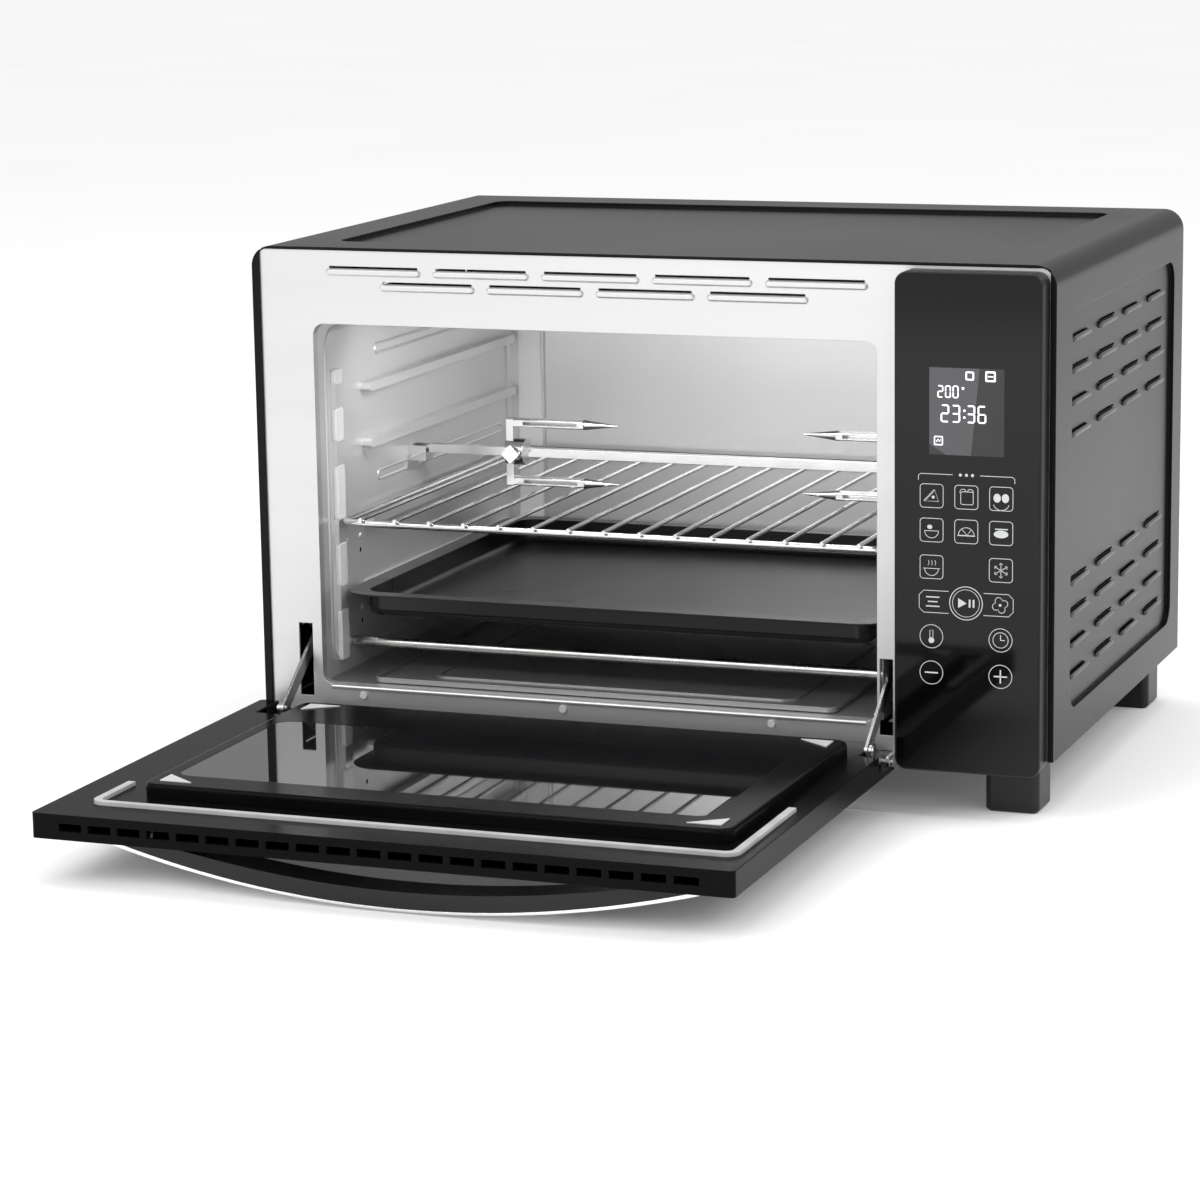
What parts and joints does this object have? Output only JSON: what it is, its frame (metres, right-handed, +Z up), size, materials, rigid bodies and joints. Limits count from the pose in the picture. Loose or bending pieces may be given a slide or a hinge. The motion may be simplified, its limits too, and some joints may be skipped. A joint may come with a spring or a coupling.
{
  "type": "toaster oven",
  "caption": "Countertop toaster oven with a drop-down glass door, touch control column, wire rack, baking tray, crumb tray and rotisserie.",
  "frame": {"origin": "on the floor, at the middle of the plan of the oven with its door open", "axes": "+X to the right as seen from the front, -Y out of the front, +Z up"},
  "size_m": [0.56, 0.7218, 0.359],
  "materials": {
    "black_powder_coat": "fine satin powder coat",
    "light_steel": "satin galvanised sheet",
    "bright_fasteners": "bright plated",
    "hinge_steel": "zinc plated stampings",
    "heater_tube": "steel sheathed tube",
    "ceramic_ends": "unglazed",
    "rack_chrome": "polished wire",
    "tray_enamel": "black enamel",
    "door_black": "satin black enamel",
    "door_glass": "dark tempered glass",
    "inner_glass": "clear tempered glass",
    "panel_glass": "black gloss glass",
    "black_plastic": "fine grain",
    "trim_steel": "polished stainless strip",
    "seal_rubber": "grey heat-proof cord",
    "electronics": "circuit board with parts"
  },
  "bodies": {
    "body": {"back_cover": "black_powder_coat", "back_screws": "bright_fasteners", "base_plate": "black_powder_coat", "bay_shield": "light_steel", "bottom_heating_elements": "heater_tube", "control_bezel": "black_plastic", "control_glass": "panel_glass", "cord_inlet": "black_plastic", "display_module": "electronics", "door_springs": "hinge_steel", "fan_guard": "light_steel", "fan_housing": "light_steel", "fan_motor": "hinge_steel", "feet": "black_plastic", "feet_screws": "bright_fasteners", "frame_rivets": "bright_fasteners", "front_frame": "light_steel", "heater_insulators": "ceramic_ends", "hinge_mounts": "hinge_steel", "hinge_pins": "bright_fasteners", "lamp_bulb": "inner_glass", "lamp_holder": "hinge_steel", "lamp_lens": "inner_glass", "liner_back": "light_steel", "liner_bottom": "light_steel", "liner_left_side": "light_steel", "liner_right_side": "light_steel", "liner_top": "light_steel", "outer_shell": "black_powder_coat", "power_board": "electronics", "spit_bracket": "rack_chrome", "spit_motor": "hinge_steel", "spring_anchors": "light_steel", "temperature_probe": "heater_tube", "thermal_cutout": "hinge_steel", "top_heating_elements": "heater_tube", "touch_board": "electronics"},
    "door": {"door_frame": "door_black", "door_outer_glass": "door_glass", "door_inner_frame": "door_black", "door_inner_glass": "inner_glass", "door_corner_clips": "hinge_steel", "door_seal": "seal_rubber", "door_handle": "black_plastic", "handle_trim": "trim_steel", "handle_screws": "bright_fasteners", "hinge_bracket_left": "hinge_steel", "hinge_bracket_right": "hinge_steel", "arm_pins": "bright_fasteners"},
    "left_link_arm": {"link_arm_left": "hinge_steel"},
    "right_link_arm": {"link_arm_right": "hinge_steel"},
    "rack": {"wire_rack": "rack_chrome"},
    "tray": {"baking_tray": "tray_enamel"},
    "crumbs": {"crumb_tray": "light_steel"},
    "spit": {"spit_rod": "rack_chrome", "spit_fork_left": "rack_chrome", "spit_fork_right": "rack_chrome", "fork_screws": "bright_fasteners", "spit_drive_socket": "rack_chrome"},
    "fan": {"fan_blade": "hinge_steel"}
  },
  "joints": [
    {"name": "door_hinge", "type": "hinge", "parent": "body", "child": "door", "pos_m": [-0.05, -0.0379, 0.034], "axis": [-1, 0, 0], "range_deg": [0, 90]},
    {"name": "left_link_pivot", "type": "hinge", "parent": "door", "child": "left_link_arm", "pos_m": [-0.2493, -0.0629, 0.047], "axis": [1, 0, 0], "range_deg": [0, 90]},
    {"name": "right_link_pivot", "type": "hinge", "parent": "door", "child": "right_link_arm", "pos_m": [0.1683, -0.0629, 0.047], "axis": [1, 0, 0], "range_deg": [0, 90]},
    {"name": "rack_slide", "type": "slide", "parent": "body", "child": "rack", "axis": [0, 1, 0], "range_m": [-0.25, 0]},
    {"name": "baking_tray_slide", "type": "slide", "parent": "body", "child": "tray", "axis": [0, 1, 0], "range_m": [-0.25, 0]},
    {"name": "crumb_tray_slide", "type": "slide", "parent": "body", "child": "crumbs", "axis": [0, 1, 0], "range_m": [-0.23, 0]},
    {"name": "spit_turn", "type": "hinge", "parent": "body", "child": "spit", "pos_m": [0, 0.1411, 0.197], "axis": [1, 0, 0], "continuous": true},
    {"name": "fan_turn", "type": "hinge", "parent": "body", "child": "fan", "pos_m": [0.172, 0.2661, 0.238], "axis": [1, 0, 0], "continuous": true}
  ],
  "couplings": [
    {"joint": "left_link_pivot", "follows": "door_hinge", "ratio": 1},
    {"joint": "right_link_pivot", "follows": "door_hinge", "ratio": 1}
  ]
}
